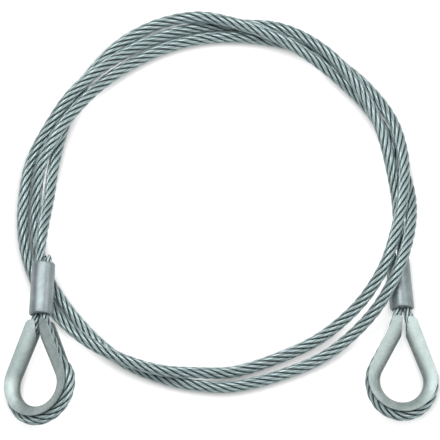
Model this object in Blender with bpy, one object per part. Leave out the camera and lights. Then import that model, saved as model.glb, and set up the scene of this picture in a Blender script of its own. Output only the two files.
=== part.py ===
"""Wire rope sling with a thimble eye at each end, lying in a loose coil of about two and a half turns.

Frame: metres, +Z up, the floor at Z = 0. The origin is on the floor, in the middle of the box round
the two eyes with their ferrules. Each eye has a frame of its own: its origin is the centre of the
thimble's round crown, +Y runs along the eye towards the ferrule, +X across it and +Z through the
thickness of the thimble.
"""
import math

import bmesh
import bpy
from mathutils import Matrix, Vector

MM = 0.001
GAP = 0.3 * MM                      # between pieces that touch on the real sling

# Rope
ROPE_RADIUS = 4.0 * MM
PRESSED_RADIUS = 3.0 * MM           # of each leg where the ferrule squeezes it
TAIL_OUT = 5.0 * MM                 # cut tail standing out of the ferrule's far mouth
SPREAD_LENGTH = 12.0 * MM           # over which a squeezed leg regains its full radius
ROPE_SIDES_RESOLUTION = 4           # 12 sides
LEG_SHARES = (0.9, 0.55, 0.25)      # of the flank's length, where the rope's legs have a route point
BEND_ANGLES = (20, 0, -30, -60, -90, -120, -150, -180, -200)    # route points round the crown

# Thimble: a sheet-steel channel bent to a teardrop
CROWN_RADIUS = 14.7 * MM            # of the inner face
FLANK_ANGLE = math.radians(24.5)    # of each straight flank to the eye's axis
SHEET = 1.75 * MM
GROOVE_CLEARANCE = 0.5 * MM         # each side of the rope
SEAT_CLEARANCE = 0.5 * MM           # under the rope
FOOT_FLANGE = 7.6 * MM              # from the inner face to the channel's edge, at the crown's foot
FLANK_FLANGE = 9.2 * MM             # the same where the flanks start
TIP_FLANGE = 10.4 * MM              # and at the tips
CHANNEL_CORNER = 4.5 * MM           # outer radius where floor and flange meet
SLIT_WIDTH = 3.4 * MM               # between the two tips
TIP_BEYOND = 9.6 * MM               # tips past the point where the flanks' inner faces would meet
CROWN_STEPS = 18                    # sections round the crown
CORNER_STEPS = 4                    # edges round a corner of the channel

# Ferrule
FERRULE_WALL = 1.55 * MM            # beside the legs, where it is thinnest
FERRULE_LENGTH = 36.0 * MM
FERRULE_CHAMFER = 0.7 * MM
FERRULE_SIDES = 40

# Worked out from the sizes above
GROOVE_HALF = ROPE_RADIUS + GROOVE_CLEARANCE
CHANNEL_HALF = GROOVE_HALF + SHEET
GROOVE_CORNER = CHANNEL_CORNER - SHEET
ROPE_SEAT = SHEET + ROPE_RADIUS + SEAT_CLEARANCE    # thimble's inner face to the rope's centre line
FLANK_MEET = CROWN_RADIUS / math.sin(FLANK_ANGLE)
FLANK_LENGTH = FLANK_MEET * math.cos(FLANK_ANGLE)
TIP_REACH = FLANK_MEET + TIP_BEYOND             # from the crown's centre to the ends of the tips
TIP_EDGE = SLIT_WIDTH / 2 * math.cos(FLANK_ANGLE) + TIP_BEYOND * math.sin(FLANK_ANGLE)
LEG_OFFSET = PRESSED_RADIUS + GAP / 2           # of each squeezed leg from the ferrule's axis
BORE_RADIUS = PRESSED_RADIUS + GAP              # round each leg
FERRULE_RADIUS = LEG_OFFSET + BORE_RADIUS + FERRULE_WALL

# Each eye: where its crown's centre lies from the coil's centre, how it is turned, and how its
# ferrule and rope sit. turn, pitch and roll are about Z, X and Y; cant is the ferrule's own turn in
# the plane of the eye. mouth is the near end of the ferrule, beyond the tips and across the eye.
# slack is how far the rope stands off the crown's groove at its right side and at its foot.
EYES = {
    "left": {
        "crown": (-121.3, -133.1), "turn": -1.4, "pitch": 1.3, "roll": -30.0, "cant": -2.2,
        "mouth": (4.0, 0.0), "slack": (3.3, 2.9), "leg_side": -1,
    },
    "right": {
        "crown": (122.9, -128.3), "turn": -2.5, "pitch": -1.2, "roll": 8.0, "cant": 8.0,
        "mouth": (6.0, -1.6), "slack": (0.3, 2.8), "leg_side": 1,
    },
}
COIL_CENTRE = Vector((-1.6, 98.7, 0.0)) * MM    # in the sling's frame

# The free rope's route round the coil's centre, from the left ferrule to the right one:
# bearing in degrees clockwise from the left (-X), distance from the centre and height, both in mm.
ROUTE = [
    (0, 114.8, 10.8), (12, 114.1, 6.2), (24, 116.6, 4.0), (36, 121.2, 4.0), (48, 125.7, 4.0),
    (60, 129.9, 4.2), (72, 131.2, 7.0), (84, 129.2, 11.3), (96, 123.5, 13.1), (108, 120.2, 12.6),
    (120, 118.0, 11.6), (132, 118.0, 6.8), (144, 120.0, 4.0), (156, 122.4, 4.0), (168, 125.6, 4.4),
    (180, 129.4, 10.5), (192, 131.0, 18.8), (204, 131.9, 22.5), (216, 132.0, 15.5), (228, 130.7, 7.6),
    (240, 129.9, 4.2), (264, 130.4, 4.0), (276, 130.2, 4.0), (288, 129.9, 4.0), (300, 129.7, 4.0),
    (312, 127.9, 4.0), (324, 126.9, 4.0), (336, 127.3, 4.0),
    (348, 125.9, 4.0), (360, 123.6, 4.8), (372, 122.2, 11.2), (384, 118.0, 13.1), (396, 114.9, 11.6),
    (408, 114.0, 7.0), (420, 113.9, 4.4), (432, 114.6, 4.0), (444, 115.8, 4.0), (456, 117.1, 4.0),
    (468, 119.6, 4.0), (480, 123.3, 4.0), (492, 126.7, 4.0), (504, 128.8, 4.4), (516, 129.6, 9.6),
    (528, 127.4, 13.7), (540, 124.1, 18.4), (552, 122.0, 20.9), (564, 122.2, 20.9), (576, 121.0, 14.6),
    (588, 118.8, 7.6), (600, 117.5, 4.3), (624, 120.0, 4.0), (636, 122.6, 9.2), (648, 127.4, 12.7),
    (660, 130.8, 12.7), (672, 134.0, 10.6), (684, 135.4, 5.2), (696, 135.8, 4.0),
    (708, 134.5, 4.0), (720, 131.9, 4.0), (732, 129.9, 4.4), (744, 125.9, 8.2), (756, 123.7, 12.2),
    (768, 121.6, 12.4), (780, 121.7, 7.6), (792, 122.9, 4.2), (804, 124.2, 4.0), (816, 125.5, 4.0),
    (828, 128.4, 7.4), (840, 127.0, 12.3), (852, 124.6, 12.8), (864, 121.7, 12.6), (876, 119.6, 12.4),
    (888, 118.3, 10.3), (900, 120.1, 8.0),
]
ROUTE_STEP = 12                     # degrees between two points of the tube


def material(name, colour, metallic, roughness):
    """A plain metal surface."""
    made = bpy.data.materials.new(name)
    made.use_nodes = True
    shader = made.node_tree.nodes["Principled BSDF"]
    shader.inputs["Base Color"].default_value = (*colour, 1.0)
    shader.inputs["Metallic"].default_value = metallic
    shader.inputs["Roughness"].default_value = roughness
    return made


def add_object(name, data, surface, matrix=Matrix()):
    """A new object with one material, placed by its matrix."""
    made = bpy.data.objects.new(name, data)
    made.matrix_world = matrix
    made.data.materials.append(surface)
    bpy.context.scene.collection.objects.link(made)
    return made


def crown_angles():
    """Where the channel's sections stand round the crown, from the right flank's foot to the left one's."""
    sweep = math.pi + 2 * FLANK_ANGLE
    return [FLANK_ANGLE - sweep * step / CROWN_STEPS for step in range(CROWN_STEPS + 1)]


def flange_height(angle):
    """The channel's height at this angle round the crown, least at the crown's foot."""
    share = (1 + math.sin(angle)) / (1 + math.sin(FLANK_ANGLE))
    return FOOT_FLANGE + (FLANK_FLANGE - FOOT_FLANGE) * share


def eye_matrix(eye):
    """The eye's frame in the sling's frame; the thimble's lowest edge stands on the floor."""
    turn = Matrix.Rotation(math.radians(eye["turn"]), 4, "Z")
    pitch = Matrix.Rotation(math.radians(eye["pitch"]), 4, "X")
    roll = Matrix.Rotation(math.radians(eye["roll"]), 4, "Y")
    turned = turn @ pitch @ roll
    crown = Vector((*eye["crown"], 0.0)) * MM
    spots = [spot for angle in crown_angles() for spot in crown_ring(angle, flange_height(angle))]
    lowest = min((turned @ spot).z for spot in spots)
    return Matrix.Translation(COIL_CENTRE + crown - Vector((0.0, 0.0, lowest))) @ turned


def ferrule_matrix(eye):
    """The ferrule's frame in the eye's frame: origin in the near mouth, +Y along the ferrule."""
    beyond, across = (value * MM for value in eye["mouth"])
    cant = Matrix.Rotation(math.radians(eye["cant"]), 4, "Z")
    return Matrix.Translation((across, TIP_REACH + beyond, 0.0)) @ cant


def smooth_curve(points, steps):
    """Points on a centripetal Catmull-Rom curve, steps[i] of them from points[i] to the next."""
    padded = [2 * points[0] - points[1], *points, 2 * points[-1] - points[-2]]
    curve = []
    for index, count in enumerate(steps):
        four = padded[index:index + 4]
        knots = [0.0]
        for before, after in zip(four, four[1:]):
            knots.append(knots[-1] + math.sqrt((after - before).length))
        for step in range(count):
            at = knots[1] + (knots[2] - knots[1]) * step / count
            curve.append(curve_point(four, knots, at))
    curve.append(points[-1].copy())
    return curve


def curve_point(four, knots, at):
    """The point of a Catmull-Rom segment at knot value at, by repeated blending."""
    level = four
    for reach in (1, 2, 3):
        blended = []
        for index in range(4 - reach):
            low, high = knots[index], knots[index + reach]
            if reach == 3:
                low, high = knots[1], knots[2]
            blended.append(level[index].lerp(level[index + 1], (at - low) / (high - low)))
        level = blended
    return level[0]


def rope_tube(name, points, radii, surface):
    """A plain round tube with closed ends through the points."""
    curve = bpy.data.curves.new(name, "CURVE")
    curve.dimensions = "3D"
    curve.bevel_depth = ROPE_RADIUS
    curve.bevel_resolution = ROPE_SIDES_RESOLUTION
    curve.use_fill_caps = True
    spline = curve.splines.new("POLY")
    spline.points.add(len(points) - 1)
    for spot, point, radius in zip(spline.points, points, radii):
        spot.co = (*point, 1.0)
        spot.radius = radius / ROPE_RADIUS
    return add_object(name, curve, surface)


def leg_points(eye, side):
    """One leg of the eye's rope, from the ferrule's far mouth down to the crown, in the eye's frame."""
    into = ferrule_matrix(eye)
    far, near = FERRULE_LENGTH, 0.0
    leg = [into @ Vector((side * LEG_OFFSET, along, 0.0)) for along in (far, far / 2, near)]
    flank = Vector((-side * math.sin(FLANK_ANGLE), math.cos(FLANK_ANGLE), 0.0))
    normal = Vector((side * math.cos(FLANK_ANGLE), math.sin(FLANK_ANGLE), 0.0))
    foot = normal * (CROWN_RADIUS + ROPE_SEAT)
    for share in LEG_SHARES:
        leg.append(foot + flank * (FLANK_LENGTH * share))
    return leg


def crown_points(eye):
    """The rope's bend round the crown, from the right flank's foot to the left one's."""
    right, foot = (value * MM for value in eye["slack"])
    bend = []
    for angle in BEND_ANGLES:
        way = Vector((math.cos(math.radians(angle)), math.sin(math.radians(angle)), 0.0))
        slack = right * max(0.0, way.x) ** 2 + foot * max(0.0, -way.y) ** 2
        bend.append(way * (CROWN_RADIUS + ROPE_SEAT + slack))
    return bend


def rope_eye(side_name, eye, surface):
    """The rope round one thimble: in at the ferrule's far mouth, round, and out again as the tail."""
    right, left = leg_points(eye, 1), leg_points(eye, -1)
    tail = ferrule_matrix(eye) @ Vector((-eye["leg_side"] * LEG_OFFSET, FERRULE_LENGTH + TAIL_OUT, 0.0))
    (left if eye["leg_side"] > 0 else right).insert(0, tail)
    route = right + crown_points(eye) + left[::-1]
    steps = []
    for before, after in zip(route, route[1:]):
        steps.append(max(1, round((after - before).length / ROPE_RADIUS)))
    points = smooth_curve(route, steps)
    mouth = ferrule_matrix(eye).translation.y
    radii = []
    for point in points:
        share = min(1.0, max(0.0, (mouth - point.y) / SPREAD_LENGTH))
        radii.append(PRESSED_RADIUS + (ROPE_RADIUS - PRESSED_RADIUS) * share)
    matrix = eye_matrix(eye)
    return rope_tube("rope_eye_" + side_name, [matrix @ point for point in points], radii, surface)


def free_end(eye, distance):
    """A point on the free rope, this far straight out of the ferrule's far mouth."""
    along = FERRULE_LENGTH + distance
    return eye_matrix(eye) @ ferrule_matrix(eye) @ Vector((eye["leg_side"] * LEG_OFFSET, along, 0.0))


def free_rope(surface):
    """The rope between the two ferrules."""
    ends = (GAP, TAIL_OUT, TAIL_OUT + SPREAD_LENGTH)
    points = [free_end(EYES["left"], distance) for distance in ends]
    steps = [1] * (len(ends) - 1)
    bearings = [bearing for bearing, _, _ in ROUTE]
    for bearing, distance, height in ROUTE:
        turned = math.radians(bearing)
        spot = Vector((-distance * math.cos(turned), distance * math.sin(turned), height)) * MM
        points.append(COIL_CENTRE + spot)
    steps.append(1)
    steps += [(after - before) // ROUTE_STEP for before, after in zip(bearings, bearings[1:])]
    steps.append(1)
    points += [free_end(EYES["right"], distance) for distance in ends[::-1]]
    steps += [1] * (len(ends) - 1)
    curve = smooth_curve(points, steps)
    for point in curve:
        point.z = max(point.z, ROPE_RADIUS)
    radii = [free_radius(index, len(curve)) for index in range(len(curve))]
    return rope_tube("rope_free", curve, radii, surface)


def free_radius(index, count):
    """The free rope leaves each ferrule squeezed and has its full radius from its third point on."""
    from_end = min(index, count - 1 - index)
    return PRESSED_RADIUS if from_end < 2 else ROPE_RADIUS


def channel_section(flange):
    """The U section, this high, as (across, outwards) pairs, outwards counted from the inner face."""
    half = []
    for step in range(CORNER_STEPS + 1):
        turned = math.radians(90 * step / CORNER_STEPS)
        across = CHANNEL_HALF - CHANNEL_CORNER + CHANNEL_CORNER * math.sin(turned)
        half.append((across, CHANNEL_CORNER * (1 - math.cos(turned))))
    half += [(CHANNEL_HALF, TIP_EDGE), (CHANNEL_HALF, flange)]
    half += [(GROOVE_HALF, flange), (GROOVE_HALF, TIP_EDGE)]
    for step in range(CORNER_STEPS + 1):
        turned = math.radians(90 * (1 - step / CORNER_STEPS))
        across = GROOVE_HALF - GROOVE_CORNER + GROOVE_CORNER * math.sin(turned)
        half.append((across, SHEET + GROOVE_CORNER * (1 - math.cos(turned))))
    return half + [(-across, outwards) for across, outwards in reversed(half)]


def crown_ring(angle, flange):
    """The section, this high, where it stands on the round crown."""
    normal = Vector((math.cos(angle), math.sin(angle), 0.0))
    across_way = Vector((0.0, 0.0, 1.0))
    section = channel_section(flange)
    return [normal * (CROWN_RADIUS + outwards) + across_way * across for across, outwards in section]


def tip_ring(side):
    """The section's lines run along the flank until they meet the slit or the square end of the tip."""
    flank = Vector((-side * math.sin(FLANK_ANGLE), math.cos(FLANK_ANGLE), 0.0))
    foot_angle = FLANK_ANGLE if side > 0 else math.pi - FLANK_ANGLE
    ring = []
    for start in crown_ring(foot_angle, TIP_FLANGE):
        to_slit = (abs(start.x) - SLIT_WIDTH / 2) / math.sin(FLANK_ANGLE)
        to_end = (TIP_REACH - start.y) / math.cos(FLANK_ANGLE)
        ring.append(start + flank * min(to_slit, to_end))
    return ring


def close_tip(mesh, ring):
    """The face along the slit, and the two ends of the flanges beyond its edge."""
    last = len(ring) - 1
    flange = range(CORNER_STEPS + 1, CORNER_STEPS + 5)
    skipped = (flange[1], flange[2], last - flange[1], last - flange[2])
    mesh.faces.new([vert for index, vert in enumerate(ring) if index not in skipped])
    mesh.faces.new([ring[index] for index in flange])
    mesh.faces.new([ring[last - index] for index in flange])


def thimble(side_name, eye, surface):
    """A sheet channel bent round the crown, its two flanks ending in tips with a slit between them."""
    outlines = [crown_ring(angle, flange_height(angle)) for angle in crown_angles()]
    outlines = [tip_ring(1), *outlines, tip_ring(-1)]
    mesh = bmesh.new()
    rings = [[mesh.verts.new(spot) for spot in outline] for outline in outlines]
    for before, after in zip(rings, rings[1:]):
        join_rings(mesh, before, after)
    close_tip(mesh, rings[0])
    close_tip(mesh, rings[-1])
    return add_mesh("thimble_" + side_name, mesh, surface, eye_matrix(eye))


def join_rings(mesh, before, after):
    """Faces between two closed rings of as many vertices."""
    for index in range(len(before)):
        following = (index + 1) % len(before)
        mesh.faces.new((before[index], before[following], after[following], after[index]))


def add_mesh(name, mesh, surface, matrix):
    """An object from finished bmesh faces, turned outwards, smooth over the round faces only."""
    bmesh.ops.recalc_face_normals(mesh, faces=mesh.faces)
    data = bpy.data.meshes.new(name)
    mesh.to_mesh(data)
    mesh.free()
    made = add_object(name, data, surface, matrix)
    made.data.shade_smooth()
    made.data.set_sharp_from_angle(angle=math.radians(35))
    return made


def ferrule(side_name, eye, surface):
    """The pressed sleeve: round outside, with one oval bore for both legs of the rope."""
    count = FERRULE_SIDES
    chamfer = FERRULE_CHAMFER
    outer = [
        (FERRULE_RADIUS - chamfer, 0.0), (FERRULE_RADIUS, chamfer),
        (FERRULE_RADIUS, FERRULE_LENGTH - chamfer), (FERRULE_RADIUS - chamfer, FERRULE_LENGTH),
    ]
    mesh = bmesh.new()
    rings = []
    for radius, along in outer:
        rings.append([mesh.verts.new(round_point(radius, along, index / count)) for index in range(count)])
    for along in (FERRULE_LENGTH, 0.0):
        rings.append([mesh.verts.new(bore_point(along, index / count)) for index in range(count)])
    for before, after in zip(rings, rings[1:] + rings[:1]):
        join_rings(mesh, before, after)
    return add_mesh("ferrule_" + side_name, mesh, surface, eye_matrix(eye) @ ferrule_matrix(eye))


def round_point(radius, along, share):
    """A point of a circle round the ferrule's axis."""
    turned = 2 * math.pi * share
    return Vector((radius * math.cos(turned), along, radius * math.sin(turned)))


def bore_point(along, share):
    """A point of the oval bore: two half circles, one round each leg, joined by straight sides."""
    turned = 2 * math.pi * share
    side = math.copysign(LEG_OFFSET, math.cos(turned)) if abs(math.cos(turned)) > 1e-6 else 0.0
    return Vector((side + BORE_RADIUS * math.cos(turned), along, BORE_RADIUS * math.sin(turned)))


def build():
    """Clear the scene and make every piece."""
    for old in list(bpy.data.objects):
        bpy.data.objects.remove(old)
    zinc = material("galvanised_sheet", (0.62, 0.68, 0.64), 0.85, 0.5)
    aluminium = material("pressed_aluminium", (0.55, 0.60, 0.60), 0.9, 0.42)
    wire = material("galvanised_wire", (0.48, 0.55, 0.54), 0.9, 0.35)
    for side_name, eye in EYES.items():
        thimble(side_name, eye, zinc)
        ferrule(side_name, eye, aluminium)
        rope_eye(side_name, eye, wire)
    free_rope(wire)


build()
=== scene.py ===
"""Wire rope sling with a thimble eye at each end: the visual model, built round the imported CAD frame.

Metres, +Z up, the floor at Z = 0. Each eye has a frame of its own, as in the CAD: its origin is the
centre of the thimble's round crown, +Y runs along the eye towards the ferrule, +X across it and +Z
through the thickness of the thimble.
"""
import math

import bmesh
import bpy
import numpy as np
from mathutils import Matrix, Vector


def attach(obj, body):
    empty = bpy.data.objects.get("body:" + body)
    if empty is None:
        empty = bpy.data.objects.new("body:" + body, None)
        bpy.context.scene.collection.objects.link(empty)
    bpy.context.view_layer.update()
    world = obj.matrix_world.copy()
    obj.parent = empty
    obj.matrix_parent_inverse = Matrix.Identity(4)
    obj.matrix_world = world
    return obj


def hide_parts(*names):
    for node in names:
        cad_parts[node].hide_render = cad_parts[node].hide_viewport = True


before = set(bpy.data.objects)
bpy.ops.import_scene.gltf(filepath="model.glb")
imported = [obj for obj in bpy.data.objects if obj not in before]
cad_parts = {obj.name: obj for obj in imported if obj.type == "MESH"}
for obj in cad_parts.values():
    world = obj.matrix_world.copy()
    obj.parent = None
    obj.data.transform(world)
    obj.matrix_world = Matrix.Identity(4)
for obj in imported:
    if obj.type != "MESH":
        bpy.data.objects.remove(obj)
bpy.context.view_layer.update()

MM = 0.001
GAP = 0.3 * MM

# Rope, as in the CAD
ROPE_RADIUS = 4.0 * MM
PRESSED_RADIUS = 3.0 * MM
TAIL_OUT = 5.0 * MM
SPREAD_LENGTH = 12.0 * MM
LEG_SHARES = (0.9, 0.55, 0.25)
BEND_ANGLES = (20, 0, -30, -60, -90, -120, -150, -180, -200)

# Rope, as it is laid: strands round a core, wires round each strand
STRANDS = 6
STRAND_RADIUS = 1.29 * MM
STRAND_CIRCLE = ROPE_RADIUS - STRAND_RADIUS     # through the strands' centres
LAY_LENGTH = 45.0 * MM              # of one right-hand turn of a strand
WIRES = 9                           # on the outside of a strand
WIRE_LAY = -30.0 * MM               # of one turn of a wire, laid the other way
WIRE_DEPTH = 0.13                   # of the furrow between two wires, of the strand's radius
STRAND_CUTS = 2                     # lengths to which the strands of a cut tail are cut, a ring apart
CORE_RADIUS = 1.9 * MM
CORE_SIDES = 8
CORE_CUT = 2                        # rings, by which the core ends short of the strands at a cut tail
RING_STEP = 2.5 * MM                # between two rings of a strand
HIDDEN_END = 2.5 * MM               # of the rope, inside the ferrule's far mouth
DENSE_STEP = 0.5 * MM               # between the points of the smooth curve

# Thimble, as in the CAD
CROWN_RADIUS = 14.7 * MM
FLANK_ANGLE = math.radians(24.5)
SHEET = 1.75 * MM
GROOVE_CLEARANCE = 0.5 * MM
SEAT_CLEARANCE = 0.5 * MM
FOOT_FLANGE = 7.6 * MM
FLANK_FLANGE = 9.2 * MM
TIP_FLANGE = 10.4 * MM
SLIT_WIDTH = 3.4 * MM
TIP_BEYOND = 9.6 * MM
CROWN_STEPS = 18

# Thimble, as it is rolled: the groove is half round and the outer face is one flared arc
BEND_DEPTH = 6.1 * MM               # from the inner face to where the groove's walls stand straight
FLARE_ANGLE = math.radians(66)      # of the outer face's arc, from the channel's middle to its edge
CORNER_STEPS = 14
FLANGE_STEPS = 8
FLANK_STEPS = 12
TIP_ROUND = 2.0 * MM                # of the tip's outer corner
TIP_INNER_ROUND = 0.9 * MM          # of its corner at the slit
EDGE_ROUND = 0.7 * MM               # of the sheet's cut edges

# Ferrule, as in the CAD
FERRULE_WALL = 1.55 * MM
FERRULE_LENGTH = 36.0 * MM

# Ferrule, as it is pressed
FACETS = 5
FACET_DEPTH = 0.035                 # of the sleeve's radius, at the middle of a flat
FLASH_HEIGHT = 0.35 * MM            # of the ridge that the pressing dies leave on either side
FLASH_HALF = math.radians(5)
FERRULE_SIDES = 160
BODY_STEPS = 14                     # along the sleeve between its rounded ends
MOUTH_FLARE = 0.8 * MM
MOUTH_DEPTH = 1.6 * MM
END_ROUND = 0.9 * MM

GROOVE_HALF = ROPE_RADIUS + GROOVE_CLEARANCE
CHANNEL_HALF = GROOVE_HALF + SHEET
GROOVE_CORNER = BEND_DEPTH - SHEET
ROPE_SEAT = SHEET + ROPE_RADIUS + SEAT_CLEARANCE
FLANK_MEET = CROWN_RADIUS / math.sin(FLANK_ANGLE)
FLANK_LENGTH = FLANK_MEET * math.cos(FLANK_ANGLE)
TIP_REACH = FLANK_MEET + TIP_BEYOND
TIP_EDGE = SLIT_WIDTH / 2 * math.cos(FLANK_ANGLE) + TIP_BEYOND * math.sin(FLANK_ANGLE)
LEG_OFFSET = PRESSED_RADIUS + GAP / 2
BORE_RADIUS = PRESSED_RADIUS + GAP
FERRULE_RADIUS = LEG_OFFSET + BORE_RADIUS + FERRULE_WALL

# Each eye's place, as in the CAD. facet is where the pressed sleeve's first flat faces, from +Z.
EYES = {
    "left": {
        "crown": (-121.3, -133.1), "turn": -1.4, "pitch": 1.3, "roll": -30.0, "cant": -2.2,
        "mouth": (4.0, 0.0), "slack": (3.3, 2.9), "leg_side": -1, "facet": 25.0,
    },
    "right": {
        "crown": (122.9, -128.3), "turn": -2.5, "pitch": -1.2, "roll": 8.0, "cant": 8.0,
        "mouth": (6.0, -1.6), "slack": (0.3, 2.8), "leg_side": 1, "facet": -44.0,
    },
}
COIL_CENTRE = Vector((-1.6, 98.7, 0.0)) * MM

# The free rope's route round the coil's centre, as in the CAD: bearing in degrees clockwise from -X,
# distance from the centre and height, both in mm.
ROUTE = [
    (0, 114.8, 10.8), (12, 114.1, 6.2), (24, 116.6, 4.0), (36, 121.2, 4.0), (48, 125.7, 4.0),
    (60, 129.9, 4.2), (72, 131.2, 7.0), (84, 129.2, 11.3), (96, 123.5, 13.1), (108, 120.2, 12.6),
    (120, 118.0, 11.6), (132, 118.0, 6.8), (144, 120.0, 4.0), (156, 122.4, 4.0), (168, 125.6, 4.4),
    (180, 129.4, 10.5), (192, 131.0, 18.8), (204, 131.9, 22.5), (216, 132.0, 15.5), (228, 130.7, 7.6),
    (240, 129.9, 4.2), (264, 130.4, 4.0), (276, 130.2, 4.0), (288, 129.9, 4.0), (300, 129.7, 4.0),
    (312, 127.9, 4.0), (324, 126.9, 4.0), (336, 127.3, 4.0),
    (348, 125.9, 4.0), (360, 123.6, 4.8), (372, 122.2, 11.2), (384, 118.0, 13.1), (396, 114.9, 11.6),
    (408, 114.0, 7.0), (420, 113.9, 4.4), (432, 114.6, 4.0), (444, 115.8, 4.0), (456, 117.1, 4.0),
    (468, 119.6, 4.0), (480, 123.3, 4.0), (492, 126.7, 4.0), (504, 128.8, 4.4), (516, 129.6, 9.6),
    (528, 127.4, 13.7), (540, 124.1, 18.4), (552, 122.0, 20.9), (564, 122.2, 20.9), (576, 121.0, 14.6),
    (588, 118.8, 7.6), (600, 117.5, 4.3), (624, 120.0, 4.0), (636, 122.6, 9.2), (648, 127.4, 12.7),
    (660, 130.8, 12.7), (672, 134.0, 10.6), (684, 135.4, 5.2), (696, 135.8, 4.0),
    (708, 134.5, 4.0), (720, 131.9, 4.0), (732, 129.9, 4.4), (744, 125.9, 8.2), (756, 123.7, 12.2),
    (768, 121.6, 12.4), (780, 121.7, 7.6), (792, 122.9, 4.2), (804, 124.2, 4.0), (816, 125.5, 4.0),
    (828, 128.4, 7.4), (840, 127.0, 12.3), (852, 124.6, 12.8), (864, 121.7, 12.6), (876, 119.6, 12.4),
    (888, 118.3, 10.3), (900, 120.1, 8.0),
]

# Camera: a long lens, so that the picture is almost a parallel one. From much further off, a camera
# standing further still with the same lens would have the sling past its clip end.
CAMERA_TARGET = Vector((-0.9, 87.0, 0.0)) * MM
CAMERA_ELEVATION = math.radians(73)
CAMERA_DISTANCE = 12.0
PICTURE_WIDTH = 297.0 * MM          # seen at the target
SENSOR_WIDTH = 36.0


# ---------------------------------------------------------------- camera and light

def make_camera():
    """The camera in front of the sling and high above it."""
    data = bpy.data.cameras.new("camera")
    data.sensor_width = SENSOR_WIDTH
    data.lens = SENSOR_WIDTH * CAMERA_DISTANCE / PICTURE_WIDTH
    made = bpy.data.objects.new("camera", data)
    bpy.context.scene.collection.objects.link(made)
    away = Vector((0.0, -math.cos(CAMERA_ELEVATION), math.sin(CAMERA_ELEVATION)))
    made.location = CAMERA_TARGET + away * CAMERA_DISTANCE
    made.rotation_euler = (math.pi / 2 - CAMERA_ELEVATION, 0.0, 0.0)
    bpy.context.scene.camera = made


def make_lamp(name, place, size, power):
    """A square soft box that faces the sling."""
    data = bpy.data.lights.new(name, "AREA")
    data.shape = "SQUARE"
    data.size = size
    data.energy = power
    made = bpy.data.objects.new(name, data)
    made.location = place
    made.rotation_euler = (CAMERA_TARGET - Vector(place)).to_track_quat("-Z", "Y").to_euler()
    bpy.context.scene.collection.objects.link(made)


def seen_or_mirrored(nodes):
    """1 for the camera's own rays and for those in a mirror or through glass, else 0."""
    path = nodes.new("ShaderNodeLightPath")
    either = nodes.new("ShaderNodeMath")
    either.operation = "MAXIMUM"
    all_three = nodes.new("ShaderNodeMath")
    all_three.operation = "MAXIMUM"
    links = nodes.id_data.links
    links.new(path.outputs["Is Camera Ray"], either.inputs[0])
    links.new(path.outputs["Is Glossy Ray"], either.inputs[1])
    links.new(either.outputs[0], all_three.inputs[0])
    links.new(path.outputs["Is Transmission Ray"], all_three.inputs[1])
    return all_three.outputs[0]


def make_world():
    """A studio that is bright overhead and dim at the horizon, behind a white backdrop."""
    world = bpy.data.worlds.new("studio")
    world.use_nodes = True
    bpy.context.scene.world = world
    tree = world.node_tree
    nodes, links = tree.nodes, tree.links
    nodes.clear()
    place = nodes.new("ShaderNodeTexCoord")
    split = nodes.new("ShaderNodeSeparateXYZ")
    ramp = nodes.new("ShaderNodeValToRGB")
    light = nodes.new("ShaderNodeBackground")
    backdrop = nodes.new("ShaderNodeBackground")
    path = nodes.new("ShaderNodeLightPath")
    mix = nodes.new("ShaderNodeMixShader")
    out = nodes.new("ShaderNodeOutputWorld")
    ramp.color_ramp.elements[0].position = 0.0
    ramp.color_ramp.elements[0].color = (0.2, 0.205, 0.215, 1.0)
    ramp.color_ramp.elements[1].position = 0.95
    ramp.color_ramp.elements[1].color = (0.78, 0.79, 0.82, 1.0)
    light.inputs["Strength"].default_value = 0.55
    backdrop.inputs["Color"].default_value = (1.0, 1.0, 1.0, 1.0)
    backdrop.inputs["Strength"].default_value = 1.0
    links.new(place.outputs["Generated"], split.inputs[0])
    links.new(split.outputs["Z"], ramp.inputs[0])
    links.new(ramp.outputs[0], light.inputs["Color"])
    links.new(path.outputs["Is Camera Ray"], mix.inputs[0])
    links.new(light.outputs[0], mix.inputs[1])
    links.new(backdrop.outputs[0], mix.inputs[2])
    links.new(mix.outputs[0], out.inputs[0])


def make_floor():
    """A plain pale floor, white in the picture, that keeps the sling's shadow; near the sling its glow is
    darkened by ambient occlusion, a painted contact shadow.
    """
    material = bpy.data.materials.new("floor_white")
    material.use_nodes = True
    tree = material.node_tree
    nodes, links = tree.nodes, tree.links
    nodes.clear()
    pale = nodes.new("ShaderNodeBsdfDiffuse")
    pale.inputs["Color"].default_value = (0.35, 0.35, 0.35, 1.0)
    glow = nodes.new("ShaderNodeEmission")
    glow.inputs["Color"].default_value = (1.0, 1.0, 1.0, 1.0)
    # Painted contact shadow: ambient occlusion within 6 mm darkens the floor's glow beside and between the
    # sling's parts.
    painted_contact_shade = nodes.new("ShaderNodeAmbientOcclusion")
    painted_contact_shade.inputs["Distance"].default_value = 6 * MM
    strength = nodes.new("ShaderNodeMath")
    strength.operation = "MULTIPLY"
    strength.inputs[1].default_value = 0.84
    links.new(painted_contact_shade.outputs["AO"], strength.inputs[0])
    links.new(strength.outputs[0], glow.inputs["Strength"])
    both = nodes.new("ShaderNodeAddShader")
    mix = nodes.new("ShaderNodeMixShader")
    out = nodes.new("ShaderNodeOutputMaterial")
    links.new(pale.outputs[0], both.inputs[0])
    links.new(glow.outputs[0], both.inputs[1])
    links.new(seen_or_mirrored(nodes), mix.inputs[0])
    links.new(pale.outputs[0], mix.inputs[1])
    links.new(both.outputs[0], mix.inputs[2])
    links.new(mix.outputs[0], out.inputs[0])
    bpy.ops.mesh.primitive_plane_add(size=12.0, location=(0.0, 0.0, 0.0))
    floor = bpy.context.object
    floor.name = "studio_floor"
    floor.data.materials.append(material)


# ---------------------------------------------------------------- materials

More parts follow.
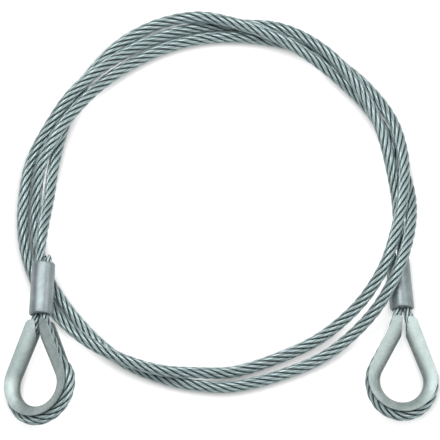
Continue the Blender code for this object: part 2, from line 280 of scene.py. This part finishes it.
class Surface:
    """A Principled material and short ways to add nodes to it."""

    def __init__(self, name, metallic, specular=0.5):
        self.material = bpy.data.materials.new(name)
        self.material.use_nodes = True
        self.nodes = self.material.node_tree.nodes
        self.links = self.material.node_tree.links
        self.shader = self.nodes["Principled BSDF"]
        self.shader.inputs["Metallic"].default_value = metallic
        self.shader.inputs["Specular IOR Level"].default_value = specular

    def attribute(self, name, output="Fac"):
        node = self.nodes.new("ShaderNodeAttribute")
        node.attribute_name = name
        return node.outputs[output]

    def place(self):
        return self.nodes.new("ShaderNodeTexCoord").outputs["Object"]

    def stretched(self, vector, scale):
        node = self.nodes.new("ShaderNodeVectorMath")
        node.operation = "MULTIPLY"
        self.links.new(vector, node.inputs[0])
        node.inputs[1].default_value = scale
        return node.outputs[0]

    def noise(self, vector, scale, detail=3.0, roughness=0.55, distortion=0.0):
        node = self.nodes.new("ShaderNodeTexNoise")
        self.links.new(vector, node.inputs["Vector"])
        node.inputs["Scale"].default_value = scale
        node.inputs["Detail"].default_value = detail
        node.inputs["Roughness"].default_value = roughness
        node.inputs["Distortion"].default_value = distortion
        return node.outputs["Fac"]

    def cells(self, vector, scale):
        """A random grey for each grain."""
        node = self.nodes.new("ShaderNodeTexVoronoi")
        self.links.new(vector, node.inputs["Vector"])
        node.inputs["Scale"].default_value = scale
        split = self.nodes.new("ShaderNodeSeparateColor")
        self.links.new(node.outputs["Color"], split.inputs[0])
        return split.outputs[0]

    def ramp(self, value, stops):
        """Colours or greys over a value: stops are (position, colour)."""
        node = self.nodes.new("ShaderNodeValToRGB")
        elements = node.color_ramp.elements
        while len(elements) < len(stops):
            elements.new(0.5)
        for element, (position, colour) in zip(elements, stops):
            element.position = position
            element.color = (*colour, 1.0) if len(colour) == 3 else (*colour * 3, 1.0)
        self.links.new(value, node.inputs[0])
        return node.outputs[0]

    def mix(self, share, low, high, blend="MIX"):
        """Two colours mixed; share, low and high are sockets or plain values."""
        node = self.nodes.new("ShaderNodeMix")
        node.data_type = "RGBA"
        node.blend_type = blend
        node.clamp_result = True
        for socket, value in ((node.inputs[0], share), (node.inputs[6], low), (node.inputs[7], high)):
            if isinstance(value, bpy.types.NodeSocket):
                self.links.new(value, socket)
            else:
                socket.default_value = value
        return node.outputs[2]

    def spread(self, value, low, high):
        """A value from 0 to 1 brought between two others."""
        node = self.nodes.new("ShaderNodeMapRange")
        node.inputs["To Min"].default_value = low
        node.inputs["To Max"].default_value = high
        self.links.new(value, node.inputs["Value"])
        return node.outputs["Result"]

    def bump(self, height, depth, strength, under=None):
        node = self.nodes.new("ShaderNodeBump")
        node.inputs["Strength"].default_value = strength
        node.inputs["Distance"].default_value = depth
        self.links.new(height, node.inputs["Height"])
        if under:
            self.links.new(under, node.inputs["Normal"])
        return node.outputs["Normal"]

    def finish(self, colour, roughness, normal):
        self.links.new(colour, self.shader.inputs["Base Color"])
        self.links.new(roughness, self.shader.inputs["Roughness"])
        self.links.new(normal, self.shader.inputs["Normal"])
        return self.material


def zinc_sheet():
    """Dull galvanised sheet: pale mint zinc, mottled by its grains, darker where it is scuffed; painted
    shade darkens the face towards the eye's opening and the whole groove.
    """
    s = Surface("zinc_sheet", metallic=0.55)
    place = s.place()
    cloud = s.noise(place, 90.0, detail=4.0, distortion=0.6)
    grain = s.cells(place, 900.0)
    fine = s.noise(place, 2200.0, detail=2.0)
    tones = [(0.25, (0.31, 0.39, 0.375)), (0.5, (0.43, 0.51, 0.49)), (0.75, (0.55, 0.63, 0.61))]
    base = s.ramp(cloud, tones)
    grained = s.mix(0.25, base, s.ramp(grain, [(0.0, (0.62,)), (1.0, (1.0,))]), "MULTIPLY")
    speckled = s.mix(0.22, grained, s.ramp(fine, [(0.35, (0.45,)), (0.65, (1.0,))]), "MULTIPLY")
    worn = s.ramp(s.noise(place, 260.0, detail=5.0, roughness=0.7), [(0.6, (0.0,)), (0.72, (1.0,))])
    share = s.spread(worn, 0.0, 0.35)
    scuffed = s.mix(share, speckled, (0.25, 0.33, 0.32, 1.0))
    # Painted shade: the face towards the eye's opening and the whole groove under the rope are darkened,
    # down to half, by the attribute bent.
    painted_inner_shade = s.ramp(s.attribute("bent"), [(0.0, (1.0,)), (0.6, (1.0,)), (0.85, (0.74,)), (1.0, (0.5,))])
    colour = s.mix(1.0, scuffed, painted_inner_shade, "MULTIPLY")
    roughness = s.spread(cloud, 0.36, 0.6)
    rippled = s.bump(cloud, 0.25 * MM, 0.35)
    normal = s.bump(fine, 0.06 * MM, 0.45, rippled)
    return s.finish(colour, roughness, normal)


def pressed_aluminium():
    """Pressed aluminium: grey, with faint marks drawn along the sleeve."""
    s = Surface("pressed_aluminium", metallic=0.65)
    place = s.attribute("sleeve", "Vector")
    drawn = s.noise(s.stretched(place, (1.0, 0.06, 1.0)), 900.0, detail=3.0)
    cloud = s.noise(place, 160.0, detail=4.0)
    fine = s.noise(place, 2600.0, detail=2.0)
    base = s.ramp(cloud, [(0.3, (0.26, 0.31, 0.32)), (0.7, (0.37, 0.43, 0.44))])
    lined = s.mix(0.3, base, s.ramp(drawn, [(0.3, (0.5,)), (0.65, (1.0,))]), "MULTIPLY")
    colour = s.mix(0.15, lined, s.ramp(fine, [(0.3, (0.5,)), (0.7, (1.0,))]), "MULTIPLY")
    roughness = s.spread(drawn, 0.4, 0.58)
    normal = s.bump(fine, 0.05 * MM, 0.3, s.bump(drawn, 0.08 * MM, 0.35))
    return s.finish(colour, roughness, normal)


def strand_wire():
    """Galvanised wire: its own tone along the crown of each strand, with painted shade deepening round into
    the grooves between strands.
    """
    s = Surface("strand_wire", metallic=0.65)
    lay = s.attribute("lay", "Vector")
    groove = s.attribute("groove")
    place = s.place()
    streak = s.noise(lay, 1.6, detail=3.0, roughness=0.6)
    cloud = s.noise(place, 45.0, detail=3.0)
    tones = [(0.3, (0.30, 0.395, 0.385)), (0.55, (0.42, 0.53, 0.52)), (0.75, (0.55, 0.67, 0.66))]
    base = s.ramp(streak, tones)
    toned = s.mix(s.spread(cloud, 0.0, 0.5), base, (0.36, 0.44, 0.47, 1.0))
    # Painted shade: each strand is darkened from its crown round to its inner side, deepest in the grooves
    # between strands.
    painted_groove_shade = s.ramp(groove, [(0.12, (1.0,)), (0.38, (0.32,)), (0.6, (0.08,))])
    colour = s.mix(1.0, toned, painted_groove_shade, "MULTIPLY")
    roughness = s.spread(streak, 0.42, 0.56)
    normal = s.bump(s.noise(lay, 9.0, detail=2.0), 0.05 * MM, 0.3)
    return s.finish(colour, roughness, normal)


def rope_core():
    """The core, black with grease between the strands."""
    s = Surface("rope_core", metallic=0.2)
    cloud = s.noise(s.place(), 1500.0, detail=2.0)
    colour = s.ramp(cloud, [(0.3, (0.012, 0.016, 0.017)), (0.7, (0.03, 0.037, 0.04))])
    return s.finish(colour, s.spread(cloud, 0.5, 0.8), s.bump(cloud, 0.05 * MM, 0.4))


# ---------------------------------------------------------------- rope routes

def crown_angles(steps):
    """Where sections stand round the crown, from the right flank's foot to the left one's."""
    sweep = math.pi + 2 * FLANK_ANGLE
    return [FLANK_ANGLE - sweep * step / steps for step in range(steps + 1)]


def flange_height(angle):
    """The channel's height at this angle round the crown, least at the crown's foot."""
    share = (1 + math.sin(angle)) / (1 + math.sin(FLANK_ANGLE))
    return FOOT_FLANGE + (FLANK_FLANGE - FOOT_FLANGE) * share


def eye_matrix(eye):
    """The eye's frame in the sling's frame; the thimble's lowest edge stands on the floor."""
    turn = Matrix.Rotation(math.radians(eye["turn"]), 4, "Z")
    pitch = Matrix.Rotation(math.radians(eye["pitch"]), 4, "X")
    roll = Matrix.Rotation(math.radians(eye["roll"]), 4, "Y")
    turned = turn @ pitch @ roll
    lowest = 0.0
    for angle in crown_angles(CROWN_STEPS):
        reach = CROWN_RADIUS + flange_height(angle)
        for across in (-CHANNEL_HALF, CHANNEL_HALF):
            spot = Vector((reach * math.cos(angle), reach * math.sin(angle), across))
            lowest = min(lowest, (turned @ spot).z)
    crown = Vector((*eye["crown"], 0.0)) * MM
    return Matrix.Translation(COIL_CENTRE + crown - Vector((0.0, 0.0, lowest))) @ turned


def ferrule_matrix(eye):
    """The ferrule's frame in the eye's frame: origin in the near mouth, +Y along the ferrule."""
    beyond, across = (value * MM for value in eye["mouth"])
    cant = Matrix.Rotation(math.radians(eye["cant"]), 4, "Z")
    return Matrix.Translation((across, TIP_REACH + beyond, 0.0)) @ cant


def smooth_curve(points):
    """Close points on a centripetal Catmull-Rom curve through the given ones."""
    padded = [2 * points[0] - points[1], *points, 2 * points[-1] - points[-2]]
    curve = []
    for index in range(len(points) - 1):
        four = padded[index:index + 4]
        knots = [0.0]
        for before, after in zip(four, four[1:]):
            knots.append(knots[-1] + math.sqrt((after - before).length))
        count = max(1, math.ceil((four[2] - four[1]).length / DENSE_STEP))
        for step in range(count):
            at = knots[1] + (knots[2] - knots[1]) * step / count
            curve.append(curve_point(four, knots, at))
    curve.append(points[-1].copy())
    return np.array([tuple(point) for point in curve])


def curve_point(four, knots, at):
    """The point of a Catmull-Rom segment at knot value at, by repeated blending."""
    level = four
    for reach in (1, 2, 3):
        blended = []
        for index in range(4 - reach):
            low, high = knots[index], knots[index + reach]
            if reach == 3:
                low, high = knots[1], knots[2]
            blended.append(level[index].lerp(level[index + 1], (at - low) / (high - low)))
        level = blended
    return level[0]


def lengths_along(line):
    """How far along the line each of its points is."""
    return np.concatenate([[0.0], np.cumsum(np.linalg.norm(np.diff(line, axis=0), axis=1))])


def evenly(line, step):
    """The line's points a step apart, and how far along it each is."""
    along = lengths_along(line)
    wanted = np.linspace(0.0, along[-1], max(2, round(along[-1] / step)) + 1)
    return np.stack([np.interp(wanted, along, line[:, axis]) for axis in range(3)], axis=1), wanted


def ease(share):
    """0 to 1 with a soft start and end."""
    share = np.clip(share, 0.0, 1.0)
    return share * share * (3 - 2 * share)


def leg_points(eye, side):
    """One leg of the eye's rope, from the ferrule's far mouth down to the crown, in the eye's frame."""
    into = ferrule_matrix(eye)
    far = FERRULE_LENGTH - (HIDDEN_END + GAP if side == eye["leg_side"] else 0.0)
    leg = [into @ Vector((side * LEG_OFFSET, along, 0.0)) for along in (far, far / 2, 0.0)]
    flank = Vector((-side * math.sin(FLANK_ANGLE), math.cos(FLANK_ANGLE), 0.0))
    normal = Vector((side * math.cos(FLANK_ANGLE), math.sin(FLANK_ANGLE), 0.0))
    foot = normal * (CROWN_RADIUS + ROPE_SEAT)
    for share in LEG_SHARES:
        leg.append(foot + flank * (FLANK_LENGTH * share))
    return leg


def crown_points(eye):
    """The rope's bend round the crown, from the right flank's foot to the left one's."""
    right, foot = (value * MM for value in eye["slack"])
    bend = []
    for angle in BEND_ANGLES:
        way = Vector((math.cos(math.radians(angle)), math.sin(math.radians(angle)), 0.0))
        slack = right * max(0.0, way.x) ** 2 + foot * max(0.0, -way.y) ** 2
        bend.append(way * (CROWN_RADIUS + ROPE_SEAT + slack))
    return bend


def eye_route(eye):
    """The rope round one thimble, from the tail's end: its points and its size at each of them."""
    right, left = leg_points(eye, 1), leg_points(eye, -1)
    tail = ferrule_matrix(eye) @ Vector((-eye["leg_side"] * LEG_OFFSET, FERRULE_LENGTH + TAIL_OUT, 0.0))
    (left if eye["leg_side"] > 0 else right).insert(0, tail)
    route = right + crown_points(eye) + left[::-1]
    if eye["leg_side"] > 0:
        route.reverse()
    line, along = evenly(smooth_curve(route), RING_STEP * 0.75)
    mouth = ferrule_matrix(eye).translation.y
    pressed = PRESSED_RADIUS / ROPE_RADIUS
    size = pressed + (1 - pressed) * ease((mouth - line[:, 1]) / SPREAD_LENGTH)
    matrix = np.array(eye_matrix(eye))
    return line @ matrix[:3, :3].T + matrix[:3, 3], along, size


def free_end(eye, distance):
    """A point on the free rope, this far straight out of the ferrule's far mouth."""
    along = FERRULE_LENGTH + distance
    return eye_matrix(eye) @ ferrule_matrix(eye) @ Vector((eye["leg_side"] * LEG_OFFSET, along, 0.0))


def free_route():
    """The rope between the two ferrules: its points and its size at each of them."""
    ends = (-HIDDEN_END, TAIL_OUT, TAIL_OUT + SPREAD_LENGTH)
    points = [free_end(EYES["left"], distance) for distance in ends]
    for bearing, distance, height in ROUTE:
        turned = math.radians(bearing)
        spot = Vector((-distance * math.cos(turned), distance * math.sin(turned), height)) * MM
        points.append(COIL_CENTRE + spot)
    points += [free_end(EYES["right"], distance) for distance in ends[::-1]]
    line, along = evenly(smooth_curve(points), RING_STEP)
    line[:, 2] = np.maximum(line[:, 2], ROPE_RADIUS)
    pressed = PRESSED_RADIUS / ROPE_RADIUS
    from_end = np.minimum(along, along[-1] - along) - HIDDEN_END - TAIL_OUT
    return line, along, pressed + (1 - pressed) * ease(from_end / SPREAD_LENGTH)


# ---------------------------------------------------------------- rope geometry

def carried_frame(line):
    """Tangent, normal and binormal along the line, carried on without twist."""
    tangent = np.gradient(line, axis=0)
    tangent /= np.linalg.norm(tangent, axis=1)[:, None]
    normal = np.empty_like(line)
    side = np.cross(tangent[0], (0.0, 0.0, 1.0))
    for index, way in enumerate(tangent):
        side = side - way * side.dot(way)
        side /= np.linalg.norm(side)
        normal[index] = side
    return tangent, normal, np.cross(tangent, normal)


def tube_faces(first, rings, sides):
    """Quads between the rings of a tube whose vertices start at first, and its two end faces."""
    ring = np.arange(rings - 1)[:, None] * sides + first
    here = ring + np.arange(sides)
    beside = ring + (np.arange(sides) + 1) % sides
    quads = np.stack([here, beside, beside + sides, here + sides], axis=-1).reshape(-1, 4).tolist()
    start = list(range(first + sides - 1, first - 1, -1))
    last = first + (rings - 1) * sides
    return quads + [start, list(range(last, last + sides))]


def core_rings(line, normal, binormal, size):
    """The core's rings of vertices along the line."""
    turned = np.arange(CORE_SIDES) * 2 * math.pi / CORE_SIDES
    ring = np.cos(turned)[None, :, None] * normal[:, None, :]
    ring = ring + np.sin(turned)[None, :, None] * binormal[:, None, :]
    return line[:, None, :] + ring * (CORE_RADIUS * size[:, None, None])


def point_attribute(data, name, values):
    """Store a number or a vector for each vertex, for a material to read."""
    kind, field = ("FLOAT_VECTOR", "vector") if values.ndim == 2 else ("FLOAT", "value")
    data.attributes.new(name, kind, "POINT").data.foreach_set(field, values.ravel())


def laid_rope(name, route, tail_first):
    """Six strands laid right-handed round a core, as one mesh; each strand shows its wires."""
    line, along, size = route
    tangent, normal, binormal = carried_frame(line)
    sides = 2 * WIRES
    around = np.arange(sides) * 2 * math.pi / sides
    ridge = STRAND_RADIUS * (1 - WIRE_DEPTH * (np.arange(sides) % 2))
    verts, faces, grooves, lays = [], [], [], []
    first = 0
    for strand in range(STRANDS):
        cut = strand % STRAND_CUTS if tail_first else 0
        turned = 2 * math.pi * (strand / STRANDS + along / LAY_LENGTH)
        out = np.cos(turned)[:, None] * normal + np.sin(turned)[:, None] * binormal
        onward = np.cos(turned)[:, None] * binormal - np.sin(turned)[:, None] * normal
        centre = line + out * (STRAND_CIRCLE * size)[:, None]
        way = tangent + onward * (2 * math.pi * STRAND_CIRCLE / LAY_LENGTH * size)[:, None]
        way /= np.linalg.norm(way, axis=1)[:, None]
        beside = np.cross(way, out)
        angle = around[None, :] + (2 * math.pi * along / WIRE_LAY)[:, None]
        reach = ridge[None, :] * size[:, None]
        ring = centre[:, None, :] + (np.cos(angle) * reach)[..., None] * out[:, None, :]
        ring = ring + (np.sin(angle) * reach)[..., None] * beside[:, None, :]
        ring, angle, distance = ring[cut:], angle[cut:], along[cut:]
        count = len(ring)
        verts.append(ring.reshape(-1, 3))
        faces += tube_faces(first, count, sides)
        # groove, for the wire's painted shade: 0 on a strand's outward crown, 1 on its inner side.
        grooves.append((0.5 - 0.5 * np.cos(angle)).reshape(-1))
        spot = np.empty((count, sides, 3))
        spot[..., 0] = np.cos(around) * 1.5 + strand * 11.0
        spot[..., 1] = np.sin(around) * 1.5
        spot[..., 2] = distance[:, None] * 60.0
        lays.append(spot.reshape(-1, 3))
        first += count * sides
    strand_faces = len(faces)
    cut = CORE_CUT if tail_first else 0
    ring = core_rings(line[cut:], normal[cut:], binormal[cut:], size[cut:])
    verts.append(ring.reshape(-1, 3))
    faces += tube_faces(first, len(ring), CORE_SIDES)
    grooves.append(np.ones(len(ring) * CORE_SIDES))
    lays.append(np.zeros((len(ring) * CORE_SIDES, 3)))
    data = bpy.data.meshes.new(name)
    data.from_pydata(np.concatenate(verts).tolist(), [], faces)
    data.materials.append(MATERIALS["wire"])
    data.materials.append(MATERIALS["core"])
    kinds = np.zeros(len(faces), dtype=np.int32)
    kinds[strand_faces:] = 1
    data.polygons.foreach_set("material_index", kinds)
    point_attribute(data, "groove", np.concatenate(grooves))
    point_attribute(data, "lay", np.concatenate(lays))
    data.shade_smooth()
    data.set_sharp_from_angle(angle=math.radians(60))
    made = bpy.data.objects.new(name, data)
    bpy.context.scene.collection.objects.link(made)
    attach(made, "root")
    return made


def make_ropes():
    """The free rope and the bend round each thimble."""
    route = free_route()
    rope = laid_rope("free_rope", route, tail_first=False)
    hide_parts("rope_free")
    for side_name, eye in EYES.items():
        bend = laid_rope("eye_rope_" + side_name, eye_route(eye), tail_first=True)
        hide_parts("rope_eye_" + side_name)


# ---------------------------------------------------------------- thimbles

def channel_lines(flange):
    """The U section's outer and groove lines, this high, as (across, outwards) pairs point for point."""
    groove = [(0.0, SHEET)]
    for step in range(CORNER_STEPS + 1):
        turned = math.radians(90 * step / CORNER_STEPS)
        across = GROOVE_HALF - GROOVE_CORNER + GROOVE_CORNER * math.sin(turned)
        groove.append((across, SHEET + GROOVE_CORNER * (1 - math.cos(turned))))
    for step in range(1, FLANGE_STEPS + 1):
        groove.append((GROOVE_HALF, BEND_DEPTH + (flange - BEND_DEPTH) * step / FLANGE_STEPS))
    outer = []
    for step in range(len(groove)):
        turned = FLARE_ANGLE * step / (len(groove) - 1)
        across = CHANNEL_HALF * math.sin(turned) / math.sin(FLARE_ANGLE)
        outer.append((across, flange * (1 - math.cos(turned)) / (1 - math.cos(FLARE_ANGLE))))
    outer = [(-across, outwards) for across, outwards in outer[:0:-1]] + outer
    groove = [(-across, outwards) for across, outwards in groove[:0:-1]] + groove
    return outer, groove


def crown_ring(angle, flange):
    """The section, this high, where it stands on the round crown."""
    normal = Vector((math.cos(angle), math.sin(angle), 0.0))
    outer, groove = channel_lines(flange)
    section = outer + groove[::-1]
    return [normal * (CROWN_RADIUS + outwards) + Vector((0.0, 0.0, across)) for across, outwards in section]


def tip_ring(side):
    """The section's lines run along the flank until they meet the slit or the tip's rounded end."""
    flank = Vector((-side * math.sin(FLANK_ANGLE), math.cos(FLANK_ANGLE), 0.0))
    outer, groove = channel_lines(TIP_FLANGE)
    ring = []
    for start, (_, outwards) in zip(crown_ring(foot_angle(side), TIP_FLANGE), outer + groove[::-1]):
        to_slit = (abs(start.x) - SLIT_WIDTH / 2) / math.sin(FLANK_ANGLE)
        to_end = (TIP_REACH - start.y) / math.cos(FLANK_ANGLE)
        to_end -= rounding(TIP_ROUND, TIP_FLANGE - outwards)
        to_end -= rounding(TIP_INNER_ROUND, outwards - TIP_EDGE)
        ring.append(start + flank * min(to_slit, to_end))
    return ring


def foot_angle(side):
    """Where the flank on this side leaves the crown."""
    return FLANK_ANGLE if side > 0 else math.pi - FLANK_ANGLE


def rounding(radius, from_corner):
    """How far a rounded corner falls short of a square one, this far from it."""
    inside = min(max(radius - from_corner, 0.0), radius)
    return radius - math.sqrt(radius * radius - inside * inside)


def flank_rings(side):
    """Sections along a flank, from its foot to its tip."""
    foot = crown_ring(foot_angle(side), FLANK_FLANGE)
    tip = tip_ring(side)
    rings = []
    for step in range(1, FLANK_STEPS + 1):
        rings.append([start.lerp(end, step / FLANK_STEPS) for start, end in zip(foot, tip)])
    return rings


def make_thimble(side_name, eye):
    """A sheet channel bent round the crown, its two flanks ending in rounded tips with a slit between."""
    outlines = flank_rings(1)[::-1]
    outlines += [crown_ring(angle, flange_height(angle)) for angle in crown_angles(4 * CROWN_STEPS)]
    outlines += flank_rings(-1)
    mesh = bmesh.new()
    rings = [[mesh.verts.new(spot) for spot in outline] for outline in outlines]
    for before, after in zip(rings, rings[1:]):
        join_rings(mesh, before, after)
    for ring in (rings[0], rings[-1]):
        last = len(ring) - 1
        for index in range(len(ring) // 2 - 1):
            mesh.faces.new((ring[index], ring[index + 1], ring[last - index - 1], ring[last - index]))
    outer, groove = channel_lines(TIP_FLANGE)
    # bent, for the zinc's painted shade: 1 at the middle of the face towards the eye's opening, falling to
    # 0 at BEND_DEPTH outwards, and 1 all over the groove.
    bent = [max(0.0, 1 - outwards / BEND_DEPTH) for _, outwards in outer] + [1.0] * len(groove)
    made = add_mesh("thimble_shell_" + side_name, mesh, MATERIALS["zinc"], eye_matrix(eye))
    point_attribute(made.data, "bent", np.array(bent * len(rings)))
    soften(made)
    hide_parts("thimble_" + side_name)
    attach(made, "root")


def join_rings(mesh, before, after):
    """Faces between two closed rings of as many vertices."""
    for index in range(len(before)):
        following = (index + 1) % len(before)
        mesh.faces.new((before[index], before[following], after[following], after[index]))


def add_mesh(name, mesh, material, matrix):
    """An object of finished faces, turned outwards, with its vertices in the sling's frame."""
    bmesh.ops.recalc_face_normals(mesh, faces=mesh.faces)
    data = bpy.data.meshes.new(name)
    mesh.to_mesh(data)
    mesh.free()
    data.materials.append(material)
    data.transform(matrix)
    data.shade_smooth()
    data.set_sharp_from_angle(angle=math.radians(40))
    made = bpy.data.objects.new(name, data)
    bpy.context.scene.collection.objects.link(made)
    return made


def soften(made):
    """Round the sharp edges."""
    modifier = made.modifiers.new("soft_edges", "BEVEL")
    modifier.width = EDGE_ROUND
    modifier.segments = 3
    modifier.limit_method = "ANGLE"
    modifier.angle_limit = math.radians(35)


# ---------------------------------------------------------------- ferrules

def sleeve_radius(turned, facet):
    """The pressed sleeve's radius, turned from +Z towards +X: five soft flats and two flash ridges."""
    flat = (1 + math.cos(FACETS * (turned - facet))) / 2
    radius = FERRULE_RADIUS * (1 - FACET_DEPTH * flat ** 1.5)
    from_side = abs(abs((turned + math.pi) % (2 * math.pi) - math.pi) - math.pi / 2)
    return radius + FLASH_HEIGHT * max(0.0, 1 - from_side / FLASH_HALF)


def bore_spot(turned, flare):
    """A point of the oval bore, in the section's plane."""
    radius = BORE_RADIUS + flare
    side = math.copysign(LEG_OFFSET, math.sin(turned)) if abs(math.sin(turned)) > 1e-6 else 0.0
    return side + radius * math.sin(turned), radius * math.cos(turned)


def make_ferrule(side_name, eye):
    """The pressed sleeve, with rounded ends and a flared mouth at each."""
    facet = math.radians(eye["facet"])
    turns = [2 * math.pi * index / FERRULE_SIDES for index in range(FERRULE_SIDES)]
    stations = [(0.0, END_ROUND), (0.12 * MM, END_ROUND * 0.5), (0.4 * MM, END_ROUND * 0.2)]
    stations.append((END_ROUND, 0.0))
    reach = FERRULE_LENGTH - 2 * END_ROUND
    outside = stations + [(END_ROUND + reach * step / BODY_STEPS, 0.0) for step in range(1, BODY_STEPS)]
    outside += [(FERRULE_LENGTH - along, inset) for along, inset in stations[::-1]]
    inside = [(FERRULE_LENGTH, MOUTH_FLARE), (FERRULE_LENGTH - MOUTH_DEPTH * 0.5, MOUTH_FLARE * 0.35)]
    inside += [(FERRULE_LENGTH - MOUTH_DEPTH, 0.0), (MOUTH_DEPTH, 0.0)]
    inside += [(MOUTH_DEPTH * 0.5, MOUTH_FLARE * 0.35), (0.0, MOUTH_FLARE)]
    mesh = bmesh.new()
    rings = []
    for along, inset in outside:
        ring = []
        for turned in turns:
            radius = sleeve_radius(turned, facet) - inset
            ring.append(mesh.verts.new((radius * math.sin(turned), along, radius * math.cos(turned))))
        rings.append(ring)
    for along, flare in inside:
        ring = []
        for turned in turns:
            across, up = bore_spot(turned, flare)
            ring.append(mesh.verts.new((across, along, up)))
        rings.append(ring)
    for before, after in zip(rings, rings[1:] + rings[:1]):
        join_rings(mesh, before, after)
    spots = np.array([tuple(vert.co) for vert in mesh.verts])
    matrix = eye_matrix(eye) @ ferrule_matrix(eye)
    made = add_mesh("ferrule_sleeve_" + side_name, mesh, MATERIALS["aluminium"], matrix)
    point_attribute(made.data, "sleeve", spots)
    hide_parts("ferrule_" + side_name)
    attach(made, "root")


# ---------------------------------------------------------------- the scene

make_camera()
MATERIALS = {
    "zinc": zinc_sheet(),
    "aluminium": pressed_aluminium(),
    "wire": strand_wire(),
    "core": rope_core(),
}
make_ropes()
for side_name, eye in EYES.items():
    make_thimble(side_name, eye)
    make_ferrule(side_name, eye)
make_floor()
make_world()
make_lamp("key_light", (-0.45, 0.55, 1.5), 1.0, 19.0)
make_lamp("fill_light", (1.1, 0.2, 1.1), 1.0, 9.0)
bpy.context.scene.view_settings.view_transform = "Standard"
